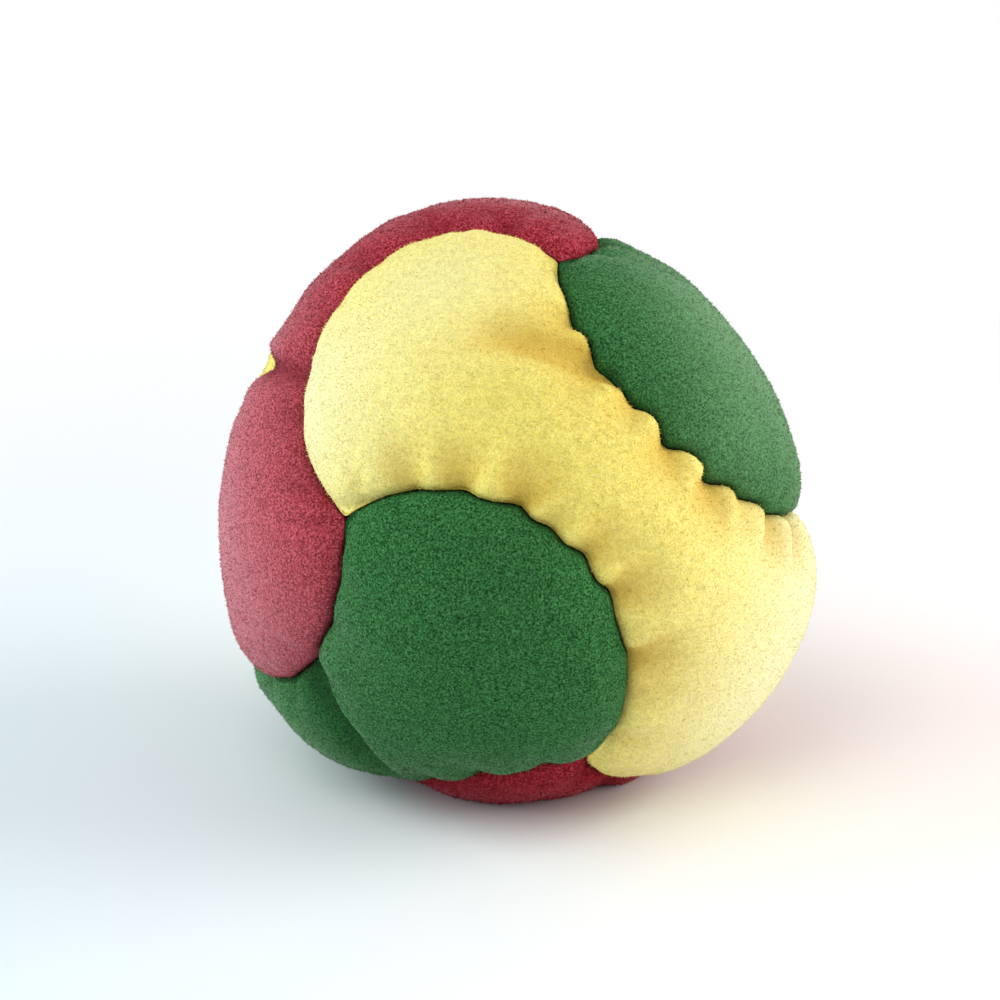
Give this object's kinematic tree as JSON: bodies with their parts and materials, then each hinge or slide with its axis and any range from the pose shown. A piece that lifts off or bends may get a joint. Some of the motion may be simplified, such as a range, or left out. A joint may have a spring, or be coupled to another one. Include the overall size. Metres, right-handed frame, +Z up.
{
  "type": "footbag",
  "caption": "Soft footbag of dog-bone suede panels sewn edge to edge round a tied cloth lining full of loose sand.",
  "frame": {"origin": "middle of the flat foot on which the settled bag rests", "axes": "+Z up, -Y towards the side that shows the front yellow and the lower green panel, +X to the right of that side"},
  "size_m": [0.0583, 0.0586, 0.056],
  "materials": {
    "yellow_suede": "brushed synthetic suede",
    "green_suede": "brushed synthetic suede",
    "red_suede": "brushed synthetic suede",
    "thread": "twisted bonded sewing thread",
    "lining": "thin plain-woven cotton",
    "sand": "loose dry grains"
  },
  "bodies": {
    "root": {"yellow_front_panel": "yellow_suede", "yellow_back_panel": "yellow_suede", "red_left_panel": "red_suede", "red_base_panel": "red_suede", "green_lower_panel": "green_suede", "green_upper_panel": "green_suede", "thread_yellow_front_to_red_left": "thread", "thread_yellow_front_to_red_base": "thread", "thread_yellow_back_to_red_left": "thread", "thread_yellow_back_to_red_base": "thread", "thread_red_left_to_green_lower": "thread", "thread_red_left_to_green_upper": "thread", "thread_red_base_to_green_lower": "thread", "thread_red_base_to_green_upper": "thread", "thread_green_lower_to_yellow_front": "thread", "thread_green_upper_to_yellow_front": "thread", "thread_green_lower_to_yellow_back": "thread", "closing_thread": "thread", "closing_knot": "thread", "lining_bag": "lining", "lining_tie": "thread", "sand_fill": "sand"}
  },
  "joints": []
}
